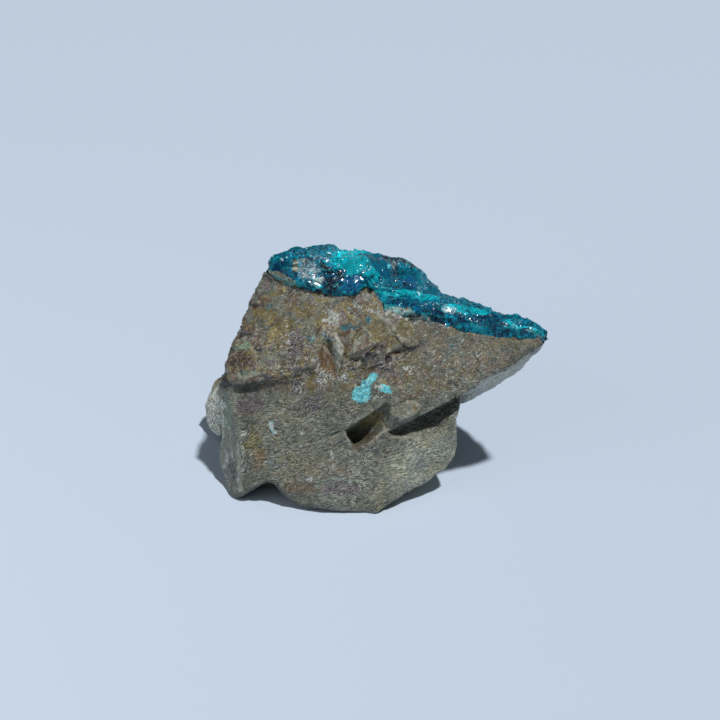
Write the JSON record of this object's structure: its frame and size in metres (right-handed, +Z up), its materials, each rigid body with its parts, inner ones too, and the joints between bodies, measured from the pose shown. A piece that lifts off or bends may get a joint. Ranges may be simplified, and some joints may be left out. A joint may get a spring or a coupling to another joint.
{
  "type": "raw chrysocolla specimen",
  "caption": "Raw mineral chip: olive-grey host rock with a broad leaning broken face and a pointed wing, topped by a blue-green chrysocolla crust.",
  "frame": {"origin": "bottom centre of the whole stone's bounding box, on its flat underside", "axes": "+Z up from the underside, +X along the longest extent towards the wing's sharp tip, -Y out of the broad broken face"},
  "size_m": [0.0622, 0.0406, 0.0384],
  "materials": {
    "host_rock": "matte",
    "chrysocolla": "gloss"
  },
  "bodies": {
    "root": {"host_rock": "host_rock", "chrysocolla_crust": "chrysocolla"}
  },
  "joints": []
}
